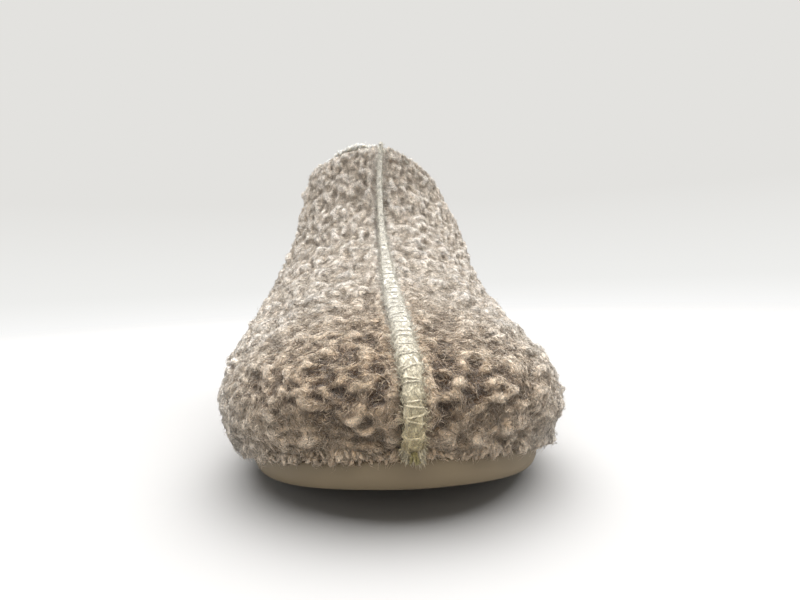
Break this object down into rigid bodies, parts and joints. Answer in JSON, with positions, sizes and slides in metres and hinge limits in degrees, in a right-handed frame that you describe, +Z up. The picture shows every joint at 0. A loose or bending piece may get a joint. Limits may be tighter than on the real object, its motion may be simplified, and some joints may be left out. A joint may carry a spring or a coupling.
{
  "type": "slipper boot",
  "caption": "Ankle-high slipper boot for the right foot: curly fleece upper with a raised overcast seam up the centre front, a wool insole and a plain moulded sole with toe spring.",
  "frame": {"origin": "on the floor, at the bottom centre of the boot's box", "axes": "+Z up, +Y from the toe to the heel, +X towards the medial (big toe) side of a right foot"},
  "size_m": [0.1248, 0.2774, 0.1344],
  "materials": {
    "outsole": "matt moulded taupe rubber",
    "insole": "cream wool pile",
    "upper": "taupe curly wool fleece, cream wool lining",
    "front_seam": "cream overcast wool yarn"
  },
  "bodies": {
    "root": {"outsole": "outsole", "insole": "insole", "upper": "upper", "front_seam": "front_seam"}
  },
  "joints": []
}
